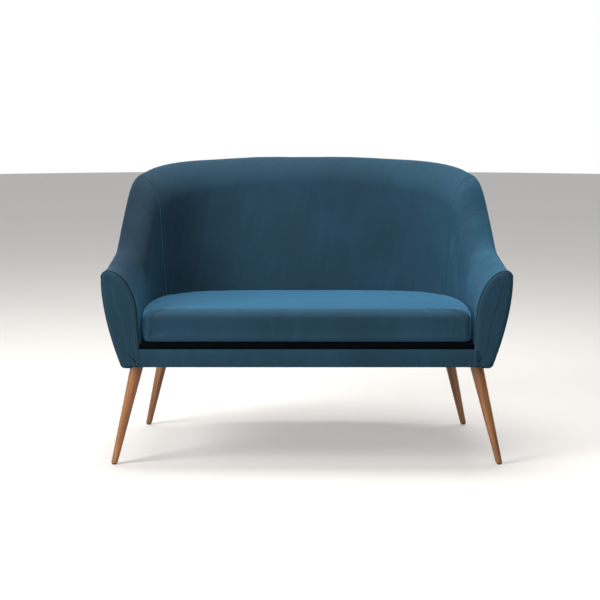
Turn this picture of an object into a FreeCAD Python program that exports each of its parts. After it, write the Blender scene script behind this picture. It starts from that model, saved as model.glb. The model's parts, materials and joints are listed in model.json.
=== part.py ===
import FreeCAD, Part
import math
import os

V = FreeCAD.Vector

# A two-seat tub sofa: one upholstered shell bent round the seat, a loose bench cushion and four
# splayed, tapered legs. All lengths are in millimetres. X runs along the sofa, Z is up and -Y is
# the front. The origin is on the floor, under the middle of the sofa.
#
# Every upholstered wall is worked out in polar form about the middle of the arm-front plane:
# angle 0 is the front of the right arm, 90 degrees the middle of the back.

# Overall size
WIDTH = 1206.0
DEPTH = 703.0
BACK_HEIGHT = 890.0
ARM_HEIGHT = 592.5
BODY_BOTTOM = 306.0
FACING_PROUD = 8.0
FACE_Y = FACING_PROUD - DEPTH / 2

# Outside of the shell: half width and depth at the base and higher up, and squareness
BASE_HALF_WIDTH = 547.0
WIDEST_Z = 560.0
SWELL_POWER = 1.7
WING_TAPER = 0.04
BASE_DEPTH = 641.0
BASE_POWER = 4.2
TOP_POWER = 4.265

# Inside of the shell
SEAT_HALF_WIDTH = 493.0
SEAT_SIDE_LEAN = 0.06
SEAT_SIDE_Z = 330.0
SEAT_DEPTH = 495.0
BACK_LEAN = 0.265
BACK_LEAN_Z = 460.0

# Height of the rim at angles round the right half of the shell, in degrees from the arm front
RIM_ANGLES = (0, 10, 16, 22, 28, 34, 40, 46, 52, 58, 66, 78, 90)
RIM_HEIGHTS = (ARM_HEIGHT, ARM_HEIGHT, 599.5, 609.0, 630.7, 719.5, 822.3, 852.1, 868.4, 877.4, 883.2,
               BACK_HEIGHT, BACK_HEIGHT)
RIM_CORNER = 16.0
RIM_FLAT_SHARE = 0.18
SHOULDER_AT_ARM = 125.0
SHOULDER_AT_BACK = 80.0

# Layers
COVER = 2.5
LAYER_GAP = 1.0
BOARD = 3.0
FOAM_SHARE = 0.53
FOAM_CAP = 56.0
BOARD_CLEARANCE = 5.0
SEAM_ANGLE = 41.5

# Timber frame
TIMBER = 22.0
FRAME_BOTTOM = 308.0
RAIL_TOP = 363.0
FRONT_RAIL_Y = 2.0
FRONT_RAIL_HALF = 489.0
REAR_RAIL_Y = 545.0
REAR_RAIL_HALF = 425.0
RAIL_SHARES = (0.28, 0.50)
ARM_RAIL_Z = (493.0, 533.0)
LOWER_RAIL_Z = (385.0, 425.0)
TOP_RAIL_Z = (725.0, 775.0)
POST = (458.0, 496.0, 452.0, 490.0)
FRONT_BLOCK = (455.0, 538.0, 24.0, 110.0)
REAR_BLOCK = (380.0, 490.0, 420.0, 545.0)
SIDE_RAIL_X = 500.0

# Seat suspension and deck
SPRING_WIRE = 3.8
SPRING_HALF = 24.0
SPRING_PITCH = 34.0
SPRING_XS = (-405.0, -270.0, -135.0, 0.0, 135.0, 270.0, 405.0)
SPRING_Z = RAIL_TOP + 3.6
FOAM_BOTTOM = RAIL_TOP + 8
FELT_Z = (RAIL_TOP + 7.5, RAIL_TOP + 10.5)
DECK_Z = (RAIL_TOP + 11, RAIL_TOP + 13)

# Velvet band across the front rail: front and back of its cover, and the tops of cover and pad
BAND_COVER_Y = (-6.0, -3.5)
BAND_TOP = 361.0
BAND_PAD_TOP = 359.0

# Cushion
CUSHION_Z = (DECK_Z[1] + 0.5, 474.0)
CUSHION_GAP = 1.5
CUSHION_FRONT = -6.0
CUSHION_CORNER = 32.0
CUSHION_ROUND = 14.0
ZIP_Z = 425.0
ZIP_Y = 465.5
ZIP_HALF = 262.0
ZIP_SLIDER_START = -250.0

# Legs: top and foot centres, as (x, distance behind the arm fronts)
LEG_AXES = {"front": ((508.6, 75.7), (582.0, 40.0)), "rear": ((457.0, 494.0), (531.0, 547.0))}
LEG_TOP_RADIUS = 20.0
LEG_FOOT_RADIUS = 9.5
GLIDE_HEIGHT = 5.0
GLIDE_RADIUS = 8.0
STUD_RADIUS = 3.9
STUD_IN_LEG = 42.0
STUD_IN_BLOCK = 30.0
INSERT_RADIUS = 6.5
INSERT_LENGTH = 28.0
SCREW_RADIUS = 2.2
SCREW_LENGTH = 50.0


# ---------------------------------------------------------------- the shape of the shell

def clamp(value):
    return max(0.0, min(1.0, value))


def place(x, behind, z):
    """A point given by its distance behind the plane of the arm fronts."""
    return V(x, FACE_Y + behind, z)


def superellipse(angle, half_width, depth, power):
    """Polar radius of a superellipse about the middle of the arm-front plane."""
    across = abs(math.cos(angle)) / half_width
    back = abs(math.sin(angle)) / depth
    return (across ** power + back ** power) ** (-1 / power)


def outer_radius(angle, z):
    """Outside of the shell: it swells up to WIDEST_Z, then the wings lean in a little."""
    swell = 1 - (1 - clamp((z - BODY_BOTTOM) / (WIDEST_Z - BODY_BOTTOM))) ** SWELL_POWER
    half_width = BASE_HALF_WIDTH + (WIDTH / 2 - BASE_HALF_WIDTH) * swell
    half_width -= WING_TAPER * max(0.0, z - WIDEST_Z)
    height = clamp((z - BODY_BOTTOM) / (BACK_HEIGHT - BODY_BOTTOM))
    top_depth = DEPTH - FACING_PROUD
    depth = BASE_DEPTH + (top_depth - BASE_DEPTH) * (1 - (1 - height) ** 1.5)
    power = BASE_POWER + (TOP_POWER - BASE_POWER) * height
    return superellipse(angle, half_width, depth, power)


def inner_radius(angle, z):
    """Inside of the shell: near-upright sides and a leaning back."""
    half_width = SEAT_HALF_WIDTH + SEAT_SIDE_LEAN * (z - SEAT_SIDE_Z)
    depth = SEAT_DEPTH + BACK_LEAN * (z - BACK_LEAN_Z)
    power = 4.4 - clamp((z - BACK_LEAN_Z) / 400.0)
    return superellipse(angle, half_width, depth, power)


def wall_radius(angle, share, z):
    """Radius at a share of the wall's thickness: 0 is the outside, 1 the inside."""
    return outer_radius(angle, z) * (1 - share) + inner_radius(angle, z) * share


def rim_slope(i):
    """Slope of the rim at one of its angles, from the heights on either side."""
    if i in (0, len(RIM_ANGLES) - 1):
        return 0.0
    return (RIM_HEIGHTS[i + 1] - RIM_HEIGHTS[i - 1]) / (RIM_ANGLES[i + 1] - RIM_ANGLES[i - 1])


def rim_height(angle):
    """Height of the rim: a smooth cubic through the heights, the same on both sides."""
    turn = 90 - abs(90 - math.degrees(angle))
    i = 0
    while i < len(RIM_ANGLES) - 2 and turn > RIM_ANGLES[i + 1]:
        i += 1
    span = RIM_ANGLES[i + 1] - RIM_ANGLES[i]
    t = (turn - RIM_ANGLES[i]) / span
    start = RIM_HEIGHTS[i] * (1 + 2 * t) + rim_slope(i) * span * t
    end = RIM_HEIGHTS[i + 1] * (3 - 2 * t) - rim_slope(i + 1) * span * (1 - t)
    return start * (1 - t) ** 2 + end * t ** 2


def shoulder_drop(angle):
    """How far the rim's rounded inner shoulder comes down the wall."""
    turn = 1 - abs(2 * angle / math.pi - 1)
    blend = turn * turn * (3 - 2 * turn)
    return SHOULDER_AT_ARM + (SHOULDER_AT_BACK - SHOULDER_AT_ARM) * blend


def spread(start, end, count):
    """Evenly spaced values from start to end."""
    return [start + (end - start) * i / (count - 1) for i in range(count)]


def over_the_rim(angle, bottom):
    """Section of the padded side: (radius, z) over the rim and down the inside to bottom."""
    top = rim_height(angle)
    drop = shoulder_drop(angle)
    points = [(0.0, top - RIM_CORNER)]
    for turn in spread(0, math.pi / 2, 5)[1:]:
        share = RIM_FLAT_SHARE * (1 - math.cos(turn))
        points.append((share, top - RIM_CORNER + RIM_CORNER * math.sin(turn)))
    for turn in spread(0, math.pi / 2, 9)[1:]:
        share = RIM_FLAT_SHARE + (1 - RIM_FLAT_SHARE) * math.sin(turn)
        points.append((share, top - drop + drop * math.cos(turn)))
    for z in spread(top - drop, bottom, 6)[1:]:
        points.append((1.0, z))
    return [(wall_radius(angle, share, z), z) for share, z in points]


def inset(path, distance):
    """The same section path moved into the wall."""
    moved = []
    for i, (radius, z) in enumerate(path):
        before = path[max(i - 1, 0)]
        after = path[min(i + 1, len(path) - 1)]
        run = after[0] - before[0]
        rise = after[1] - before[1]
        length = math.hypot(run, rise)
        moved.append((radius - distance * rise / length, z + distance * run / length))
    return moved


def curve(angle, path):
    """A line through two section points, or a smooth curve through more."""
    points = []
    for radius, z in path:
        points.append(place(radius * math.cos(angle), radius * math.sin(angle), z))
    if len(points) == 2:
        return Part.makeLine(*points)
    spline = Part.BSplineCurve()
    spline.interpolate(points)
    return spline.toShape()


def swept(section, start, end, count):
    """Solid through radial sections; section(angle) gives its sides in order, end to end."""
    wires = []
    for degrees in spread(start, end, count):
        angle = math.radians(degrees)
        wires.append(Part.Wire([curve(angle, side) for side in section(angle)]))
    return Part.makeLoft(wires, True, False)


def closed_sides(first, second):
    """Four sides of a section: a path, a line across, another path back, and a line home."""
    back = second[::-1]
    return [first, [first[-1], back[0]], back, [back[-1], first[0]]]


def mirrored(shape):
    return shape.mirror(V(0, 0, 0), V(1, 0, 0))


def box(x0, x1, behind0, behind1, z0, z1):
    return Part.makeBox(x1 - x0, behind1 - behind0, z1 - z0, place(x0, behind0, z0))


# ---------------------------------------------------------------- covers, boards and foam

def inside_cover(start, end, count):
    def section(angle):
        skin = over_the_rim(angle, DECK_Z[0])
        return closed_sides(skin, inset(skin, COVER))
    return swept(section, start, end, count)


def outer_layer(start, end, count, depth, thickness, z0, below_rim):
    """A sheet that follows the outside of the shell at a given depth."""
    def section(angle):
        heights = spread(z0, rim_height(angle) - below_rim, 9)
        face = [(outer_radius(angle, z) - depth, z) for z in heights]
        back = [(radius - thickness, z) for radius, z in face]
        return closed_sides(face, back)
    return swept(section, start, end, count)


def outside_cover(start, end, count):
    return outer_layer(start, end, count, 0.0, COVER, BODY_BOTTOM, RIM_CORNER + 2 * LAYER_GAP)


def outside_board(start, end, count):
    depth = COVER + LAYER_GAP
    return outer_layer(start, end, count, depth, BOARD, FRAME_BOTTOM + 2,
                       FOAM_CAP + BOARD_CLEARANCE)


def wall_foam(start, end, count):
    """Foam on the inner part of the wall, with a cap over the rim."""
    def section(angle):
        under_cap = rim_height(angle) - FOAM_CAP
        skin = inset(over_the_rim(angle, FOAM_BOTTOM), COVER + LAYER_GAP)
        back = [(wall_radius(angle, FOAM_SHARE, z), z) for z in spread(under_cap, skin[-1][1], 6)]
        edge = outer_radius(angle, under_cap) - COVER - LAYER_GAP
        cap = [(edge, under_cap), skin[0]]
        step = [back[0], (edge, under_cap)]
        return [skin, [skin[-1], back[-1]], back[::-1], step, cap]
    return swept(section, start, end, count)


def facing_outline(margin, bottom, behind):
    """The leaf-shaped end of an arm, as a closed wire at one distance behind the arm fronts."""
    skin = inset(over_the_rim(0.0, bottom), margin)
    side = [(outer_radius(0.0, z) - margin, z) for z in spread(bottom, skin[0][1], 8)[:-1]]
    side.append(skin[0])
    base = [(skin[-1][0], bottom), side[0]]
    inner_side = skin[:-1] + [base[0]]
    wire = Part.Wire([curve(0.0, side), curve(0.0, inner_side), curve(0.0, base)])
    wire.translate(V(0, behind, 0))
    return wire


def facing_plate(margin, bottom, behind, thickness):
    face = Part.Face(facing_outline(margin, bottom, behind))
    return face.extrude(V(0, thickness, 0))


def facing_cover():
    return facing_plate(0.0, BODY_BOTTOM, -FACING_PROUD, COVER)


def facing_pad():
    return facing_plate(0.5, BODY_BOTTOM + 0.5, COVER - FACING_PROUD, FACING_PROUD - COVER)


def front_band(front, back, top):
    half = SEAT_HALF_WIDTH - 3
    return box(-half, half, front, back, FRAME_BOTTOM - 0.5, top)


# ---------------------------------------------------------------- timber frame

def curved_rail(start, end, count, heights):
    """A bandsawn rail that follows the wall at constant height."""
    outer_share, inner_share = RAIL_SHARES

    def section(angle):
        face = [(wall_radius(angle, outer_share, z), z) for z in heights]
        back = [(wall_radius(angle, inner_share, z), z) for z in heights]
        return closed_sides(face, back)
    return swept(section, start, end, count)


def back_post():
    x0, x1, behind0, behind1 = POST
    return box(x0, x1, behind0, behind1, RAIL_TOP, TOP_RAIL_Z[1])


def arm_front_panel():
    margin = COVER + LAYER_GAP
    return facing_plate(margin, FRAME_BOTTOM, FRONT_RAIL_Y, TIMBER)


def arm_top_rail():
    rail = curved_rail(2.0, 47.0, 9, ARM_RAIL_Z)
    return rail.cut(front_end_space()).cut(back_post())


def front_end_space():
    """The slice of the arm that its front panel fills."""
    return box(400, 700, -20, FRONT_RAIL_Y + TIMBER, 0, 1000)


def base_plan(margin):
    """Plan of the shell at its underside, inset by a margin, as a prism up to the rail tops."""
    points = []
    for degrees in spread(0, 180, 41):
        angle = math.radians(degrees)
        radius = outer_radius(angle, BODY_BOTTOM) - margin
        points.append(place(radius * math.cos(angle), radius * math.sin(angle), 0))
    spline = Part.BSplineCurve()
    spline.interpolate(points)
    return Part.Face(Part.Wire([spline.toShape(), Part.makeLine(points[-1], points[0])]))


def frame_screws():
    """Countersunk screws that hold the front and rear rails to the corner blocks."""
    screws = []
    for x, behind, way in ((472.0, FRONT_RAIL_Y, 1), (402.0, REAR_RAIL_Y + TIMBER, -1)):
        for z in (FRAME_BOTTOM + 12, RAIL_TOP - 12):
            screws.append(screw(place(x, behind, z), V(0, way, 0), 0.0))
    return screws + [mirrored(one) for one in screws]


def screw(start, direction, clearance):
    head = Part.makeCone(4.4 + clearance, SCREW_RADIUS + clearance, 3, start, direction)
    shank = Part.makeCylinder(SCREW_RADIUS + clearance, SCREW_LENGTH, start, direction)
    return head.fuse(shank)


def screw_holes():
    holes = []
    for x, behind, way in ((472.0, FRONT_RAIL_Y, 1), (402.0, REAR_RAIL_Y + TIMBER, -1)):
        for z in (FRAME_BOTTOM + 12, RAIL_TOP - 12):
            hole = screw(place(x, behind, z), V(0, way, 0), 0.1)
            holes.extend([hole, mirrored(hole)])
    return Part.makeCompound(holes)


def corner_block(corner, end):
    """Solid corner block, drilled along the leg's axis for the threaded insert."""
    block = box(*corner, FRAME_BOTTOM, RAIL_TOP)
    prism = base_plan(8.0).extrude(V(0, 0, RAIL_TOP + 10))
    return block.common(prism).cut(insert_hole(end)).cut(screw_holes())


def front_rail():
    rail = box(-FRONT_RAIL_HALF, FRONT_RAIL_HALF, FRONT_RAIL_Y, FRONT_RAIL_Y + TIMBER,
               FRAME_BOTTOM, RAIL_TOP)
    return rail.cut(screw_holes())


def rear_rail():
    rail = box(-REAR_RAIL_HALF, REAR_RAIL_HALF, REAR_RAIL_Y, REAR_RAIL_Y + TIMBER,
               FRAME_BOTTOM, RAIL_TOP)
    return rail.cut(screw_holes())


def side_rail():
    return box(SIDE_RAIL_X - TIMBER, SIDE_RAIL_X, FRONT_BLOCK[3], REAR_BLOCK[2],
               FRAME_BOTTOM, RAIL_TOP)


def centre_stretcher():
    front = FRONT_RAIL_Y + TIMBER
    return box(-20, 20, front, REAR_RAIL_Y, FRAME_BOTTOM, FRAME_BOTTOM + 30)


# ---------------------------------------------------------------- seat suspension

def sinuous_spring(x):
    """Zigzag wire from the front rail to the rear rail: straight runs joined by half turns."""
    bend = SPRING_PITCH / 4
    run = SPRING_HALF - bend
    start = FRONT_RAIL_Y + TIMBER / 2
    rows = int((REAR_RAIL_Y + TIMBER / 2 - start) / (2 * bend))
    edges = []
    for row in range(rows + 1):
        side = 1 if row % 2 == 0 else -1
        behind = start + 2 * bend * row
        near = place(x - side * run, behind, SPRING_Z)
        far = place(x + side * run, behind, SPRING_Z)
        edges.append(Part.makeLine(near, far))
        if row < rows:
            beyond = place(x + side * (run + bend), behind + bend, SPRING_Z)
            end = place(x + side * run, behind + 2 * bend, SPRING_Z)
            edges.append(Part.Arc(far, beyond, end).toShape())
    path = Part.Wire(edges)
    ring = Part.makeCircle(SPRING_WIRE / 2, place(x - run, start, SPRING_Z), V(1, 0, 0))
    return path.makePipeShell([Part.Wire(ring)], True, True)


def spring_ends():
    """Distances behind the arm fronts of the springs' first and last runs."""
    start = FRONT_RAIL_Y + TIMBER / 2
    step = SPRING_PITCH / 2
    rows = int((REAR_RAIL_Y + TIMBER / 2 - start) / step)
    return start, start + rows * step


def spring_clip(x, behind):
    """Folded steel clip that holds a spring's end run to the rail top."""
    body = box(x - 9, x + 9, behind - 4, behind + 4, RAIL_TOP, RAIL_TOP + 6.4)
    wire_way = Part.makeCylinder(SPRING_WIRE / 2 + 0.1, 60, place(x - 30, behind, SPRING_Z), V(1, 0, 0))
    return body.cut(wire_way)


def spring_clips():
    clips = []
    for x in SPRING_XS:
        for behind in spring_ends():
            clips.append(spring_clip(x, behind))
    return clips


def back_webbing():
    """Elastic straps from the lower back rail to the top rail, on the rails' front faces."""
    inner = RAIL_SHARES[1]

    def section(angle):
        heights = spread(LOWER_RAIL_Z[0], TOP_RAIL_Z[1], 7)
        face = [(wall_radius(angle, inner + 0.002, z), z) for z in heights]
        back = [(wall_radius(angle, inner + 0.018, z), z) for z in heights]
        return closed_sides(face, back)
    return [swept(section, middle - 2.4, middle + 2.4, 3) for middle in (58, 74, 90, 106, 122)]


def seat_plan(z, margin, front):
    """Closed plan wire of the seat well at one height: the inner wall and a straight front."""
    points = []
    for degrees in spread(0, 180, 41):
        angle = math.radians(degrees)
        radius = inner_radius(angle, z) - margin
        points.append(place(radius * math.cos(angle), max(radius * math.sin(angle), 0), 0))
    spline = Part.BSplineCurve()
    spline.interpolate(points)
    face = Part.Face(Part.Wire([spline.toShape(), Part.makeLine(points[-1], points[0])]))
    return face.cut(box(-700, 700, -50, front, -1, 1))


def deck_layer(heights, front):
    layer = seat_plan(heights[0], COVER, front)
    layer.translate(V(0, 0, heights[0]))
    return layer.extrude(V(0, 0, heights[1] - heights[0]))


# ---------------------------------------------------------------- cushion

def cushion_ring(z, shrink, rounding):
    """Plan of the cushion at one height, shrunk by a distance and pulled in by the edge round."""
    margin = CUSHION_GAP + shrink + rounding
    front = CUSHION_FRONT + shrink + rounding
    points = []
    for degrees in spread(7, 173, 39):
        angle = math.radians(degrees)
        radius = inner_radius(angle, z) - margin
        points.append(place(radius * math.cos(angle), radius * math.sin(angle), z))
    side = inner_radius(0.0, z) - margin
    corner = CUSHION_CORNER
    bend = corner * (1 - math.sqrt(0.5))
    right = [points[0], place(side, front + corner, z)]
    left = [place(-side, front + corner, z), points[-1]]
    wall = Part.BSplineCurve()
    wall.interpolate(points)
    right_arc = Part.Arc(right[1], place(side - bend, front + bend, z), place(side - corner, front, z))
    left_arc = Part.Arc(place(corner - side, front, z), place(bend - side, front + bend, z), left[0])
    front_edge = Part.makeLine(place(side - corner, front, z), place(corner - side, front, z))
    return Part.Wire([wall.toShape(), Part.makeLine(*left[::-1]), left_arc.toShape(), front_edge,
                      right_arc.toShape(), Part.makeLine(right[1], right[0])])


def cushion_block(shrink):
    """Boxed cushion with rounded top and bottom edges."""
    low = CUSHION_Z[0] + shrink
    high = CUSHION_Z[1] - shrink
    rings = []
    for rise in spread(0, math.pi / 2, 4):
        z = low + CUSHION_ROUND * (1 - math.cos(rise))
        rings.append(cushion_ring(z, shrink, CUSHION_ROUND * (1 - math.sin(rise))))
    for rise in spread(math.pi / 2, 0, 4):
        z = high - CUSHION_ROUND * (1 - math.cos(rise))
        rings.append(cushion_ring(z, shrink, CUSHION_ROUND * (1 - math.sin(rise))))
    return Part.makeLoft(rings, True, True)


def zip_recess(margin):
    """Straight slot in the cushion's rear face, where the zip lies sunk."""
    return box(-ZIP_HALF - margin, ZIP_HALF + margin, ZIP_Y - margin, 600,
               ZIP_Z - 13 - margin, ZIP_Z + 13 + margin)


def cushion_cover():
    return cushion_block(0.0).cut(cushion_block(COVER)).cut(zip_recess(0.0))


def cushion_core():
    return cushion_block(COVER + LAYER_GAP).cut(zip_recess(1.0))


def zip_tapes():
    lower = box(-ZIP_HALF, ZIP_HALF, ZIP_Y, ZIP_Y + 1, ZIP_Z - 13, ZIP_Z - 1.5)
    upper = box(-ZIP_HALF, ZIP_HALF, ZIP_Y, ZIP_Y + 1, ZIP_Z + 1.5, ZIP_Z + 13)
    return [lower, upper]


def zip_chain():
    return [box(-ZIP_HALF + 6, ZIP_HALF - 6, ZIP_Y + 1, ZIP_Y + 3, ZIP_Z - 4, ZIP_Z + 4)]


def zip_slider():
    """Slider that straddles the chain, and its pull tab lying flat below it."""
    x = ZIP_SLIDER_START
    body = box(x, x + 11, ZIP_Y + 1.4, ZIP_Y + 5, ZIP_Z - 6, ZIP_Z + 6)
    channel = box(x - 1, x + 12, ZIP_Y, ZIP_Y + 3.4, ZIP_Z - 4.4, ZIP_Z + 4.4)
    tab = box(x + 3, x + 8, ZIP_Y + 5.2, ZIP_Y + 6.4, ZIP_Z - 11, ZIP_Z + 3)
    return [body.cut(channel), tab]


# ---------------------------------------------------------------- legs

def leg_axis(end):
    """Foot point on the floor, unit direction up the leg and its length to the frame."""
    top_xy, foot_xy = LEG_AXES[end]
    foot = place(*foot_xy, 0)
    along = place(*top_xy, FRAME_BOTTOM) - foot
    length = along.Length
    return foot, along.multiply(1 / length), length


def leg(end):
    """Tapered round leg, cut level at the glide and at the frame, drilled at both ends."""
    foot, up, length = leg_axis(end)
    extra = 30.0
    taper = (LEG_TOP_RADIUS - LEG_FOOT_RADIUS) / length
    low = LEG_FOOT_RADIUS - taper * extra
    high = LEG_TOP_RADIUS + taper * extra
    cone = Part.makeCone(low, high, length + 2 * extra, foot - up * extra, up)
    slab = Part.makeBox(2000, 2000, FRAME_BOTTOM - GLIDE_HEIGHT, V(-1000, -1000, GLIDE_HEIGHT))
    stud_hole = Part.makeCylinder(STUD_RADIUS + 0.1, STUD_IN_LEG + 30, foot + up * (length - STUD_IN_LEG - 2), up)
    nail_hole = Part.makeCylinder(1.6, 18, foot + up * 3, up)
    return cone.common(slab).cut(stud_hole).cut(nail_hole)


def foot_glide(end):
    """Plastic glide with its nail, flat on the floor."""
    foot, up, length = leg_axis(end)
    middle = foot + up * (GLIDE_HEIGHT / 2)
    pad = Part.makeCone(GLIDE_RADIUS - 1, GLIDE_RADIUS, GLIDE_HEIGHT, V(middle.x, middle.y, 0), V(0, 0, 1))
    nail = Part.makeCylinder(1.5, 14, foot + up * 4, up)
    return pad.fuse(nail)


def hanger_bolt(end):
    foot, up, length = leg_axis(end)
    start = foot + up * (length - STUD_IN_LEG)
    return Part.makeCylinder(STUD_RADIUS, STUD_IN_LEG + STUD_IN_BLOCK, start, up)


def threaded_insert(end):
    foot, up, length = leg_axis(end)
    start = foot + up * (length + 3)
    barrel = Part.makeCylinder(INSERT_RADIUS, INSERT_LENGTH, start, up)
    bore = Part.makeCylinder(STUD_RADIUS + 0.1, INSERT_LENGTH + 2, start - up, up)
    return barrel.cut(bore)


def insert_hole(end):
    foot, up, length = leg_axis(end)
    return Part.makeCylinder(INSERT_RADIUS + 0.1, INSERT_LENGTH + 12, foot + up * (length - 6), up)


def dust_cover():
    """Thin black cloth under the frame, cut out round the legs."""
    sheet = base_plan(9.0)
    sheet.translate(V(0, 0, BODY_BOTTOM + 0.4))
    sheet = sheet.extrude(V(0, 0, 1.0))
    for end in ("front", "rear"):
        foot, up, length = leg_axis(end)
        way = Part.makeCylinder(LEG_TOP_RADIUS + 2, 60, foot + up * (length - 30), up)
        sheet = sheet.cut(way).cut(mirrored(way))
    return sheet


def pair(shape):
    """Right and left copies of the same piece."""
    return [shape, mirrored(shape)]


def handed(name, shape):
    """One node on each side."""
    return {name + "_right": shape, name + "_left": mirrored(shape)}


def build():
    """Every node of the sofa, by name: one shape or a list of separate solids."""
    post_room = Part.makeCompound(pair(back_post()))
    arm = (0.0, SEAM_ANGLE, 17)
    back = (SEAM_ANGLE, 180 - SEAM_ANGLE, 21)

    nodes = {}
    nodes.update(handed("outside_arm_cover", outside_cover(*arm)))
    nodes["outside_back_cover"] = outside_cover(*back)
    nodes.update(handed("inside_arm_cover", inside_cover(*arm)))
    nodes["inside_back_cover"] = inside_cover(*back)
    nodes.update(handed("facing_cover", facing_cover()))
    nodes.update(handed("facing_pad", facing_pad()))
    nodes["front_band_cover"] = front_band(*BAND_COVER_Y, BAND_TOP)
    nodes["front_band_pad"] = front_band(BAND_COVER_Y[1], FRONT_RAIL_Y, BAND_PAD_TOP)
    nodes.update(handed("outside_arm_board", outside_board(*arm).cut(front_end_space())))
    nodes["outside_back_board"] = outside_board(*back)
    arm_foam = wall_foam(*arm).cut(front_end_space()).cut(post_room)
    nodes.update(handed("arm_foam", arm_foam))
    nodes["back_foam"] = wall_foam(*back).cut(post_room)

    nodes["front_rail"] = front_rail()
    nodes["rear_rail"] = rear_rail()
    nodes.update(handed("side_rail", side_rail()))
    nodes["centre_stretcher"] = centre_stretcher()
    nodes.update(handed("front_corner_block", corner_block(FRONT_BLOCK, "front")))
    nodes.update(handed("rear_corner_block", corner_block(REAR_BLOCK, "rear")))
    nodes.update(handed("arm_front_panel", arm_front_panel()))
    nodes.update(handed("arm_top_rail", arm_top_rail()))
    nodes.update(handed("back_post", back_post()))
    nodes["lower_back_rail"] = curved_rail(45.2, 134.8, 17, LOWER_RAIL_Z).cut(post_room)
    nodes["top_back_rail"] = curved_rail(45.2, 134.8, 17, TOP_RAIL_Z).cut(post_room)
    nodes["frame_screws"] = frame_screws()

    nodes["seat_springs"] = [sinuous_spring(x) for x in SPRING_XS]
    nodes["spring_clips"] = spring_clips()
    nodes["back_webbing"] = back_webbing()
    nodes["deck_felt"] = deck_layer(FELT_Z, FRONT_RAIL_Y + TIMBER)
    nodes["deck_cloth"] = deck_layer(DECK_Z, FRONT_RAIL_Y)
    nodes["dust_cover"] = dust_cover()

    nodes["seat_cushion_cover"] = cushion_cover()
    nodes["seat_cushion_core"] = cushion_core()
    nodes["zip_tapes"] = zip_tapes()
    nodes["zip_chain"] = zip_chain()
    nodes["zip_slider"] = zip_slider()

    ends = ("front", "rear")
    for end in ends:
        nodes.update(handed(end + "_leg", leg(end)))
    nodes["foot_glides"] = [one for end in ends for one in pair(foot_glide(end))]
    nodes["hanger_bolts"] = [one for end in ends for one in pair(hanger_bolt(end))]
    nodes["leg_inserts"] = [one for end in ends for one in pair(threaded_insert(end))]
    return nodes


os.makedirs("parts", exist_ok=True)
for name, made in build().items():
    shape = Part.makeCompound(made) if isinstance(made, list) else made
    limits = shape.BoundBox
    print("%-26s %2d solid(s) %9.0f mm3  valid %s  x %.0f..%.0f  y %.0f..%.0f  z %.0f..%.0f" % (
        name, len(shape.Solids), shape.Volume, shape.isValid(),
        limits.XMin, limits.XMax, limits.YMin, limits.YMax, limits.ZMin, limits.ZMax))
    shape.exportStep("parts/%s.step" % name)
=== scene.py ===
# %% [markdown]
# # A velvet tub sofa on wooden legs
#
# The engineering model already holds the timber frame, springs, foam, legs and fasteners at their
# real sizes. This lesson dresses it: every velvet panel is sewn again as a surface with rolled
# edges and seams, the cushion is inflated as cloth, and every finish is built from nodes. The
# model is loaded first and never moved, because all the new pieces are placed from it.

# %% Load the engineering model
import json
import math

import bmesh
import bpy
import numpy as np
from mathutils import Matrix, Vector


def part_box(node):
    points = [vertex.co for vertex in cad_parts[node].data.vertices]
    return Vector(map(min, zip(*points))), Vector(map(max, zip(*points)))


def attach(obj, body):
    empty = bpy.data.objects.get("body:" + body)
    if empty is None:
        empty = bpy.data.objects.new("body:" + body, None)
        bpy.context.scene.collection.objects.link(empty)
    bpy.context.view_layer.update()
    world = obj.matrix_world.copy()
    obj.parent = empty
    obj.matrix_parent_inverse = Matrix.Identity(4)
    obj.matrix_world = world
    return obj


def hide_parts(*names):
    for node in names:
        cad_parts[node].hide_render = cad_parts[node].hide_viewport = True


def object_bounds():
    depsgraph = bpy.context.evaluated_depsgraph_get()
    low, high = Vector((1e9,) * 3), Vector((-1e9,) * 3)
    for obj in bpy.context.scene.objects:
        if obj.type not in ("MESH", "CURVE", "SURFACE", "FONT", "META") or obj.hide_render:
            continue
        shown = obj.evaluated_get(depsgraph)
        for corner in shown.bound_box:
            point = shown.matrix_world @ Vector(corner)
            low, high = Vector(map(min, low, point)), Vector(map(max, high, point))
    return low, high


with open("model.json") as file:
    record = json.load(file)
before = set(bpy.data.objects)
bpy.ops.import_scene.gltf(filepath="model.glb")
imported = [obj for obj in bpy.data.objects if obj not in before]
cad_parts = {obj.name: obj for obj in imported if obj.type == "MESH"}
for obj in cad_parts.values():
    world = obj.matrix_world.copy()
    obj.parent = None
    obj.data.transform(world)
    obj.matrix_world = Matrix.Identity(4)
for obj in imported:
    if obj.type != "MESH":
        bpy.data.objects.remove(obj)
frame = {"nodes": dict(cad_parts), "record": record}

CAD_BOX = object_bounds()
NODES = frame["nodes"]
BODY = "sofa_body"
print("nodes", len(NODES), "box", [tuple(round(c, 3) for c in corner) for corner in CAD_BOX])

# %% [markdown]
# ## Sizes
#
# The overall sizes are read from the model's own boxes: the arm-front plane, the underside, the
# rim at the arms and at the back. Distances behind the arm fronts are called `behind`, because
# the whole shell is worked out from the middle of that plane.

# %% Read the driving sizes
HALF_WIDTH = CAD_BOX[1].x
FACE_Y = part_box("inside_arm_cover_right")[0].y
BACK_BEHIND = CAD_BOX[1].y - FACE_Y
PROUD = FACE_Y - CAD_BOX[0].y
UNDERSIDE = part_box("outside_back_cover")[0].z
BACK_TOP = CAD_BOX[1].z
ARM_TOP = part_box("facing_cover_right")[1].z
DECK_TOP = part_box("deck_cloth")[1].z
PANEL_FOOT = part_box("inside_back_cover")[0].z
SEAM = math.radians(41.5)
CLOTH = 0.0013
print("half width, depth, arm top, back top:", np.round([HALF_WIDTH, BACK_BEHIND, ARM_TOP, BACK_TOP], 3))

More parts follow.
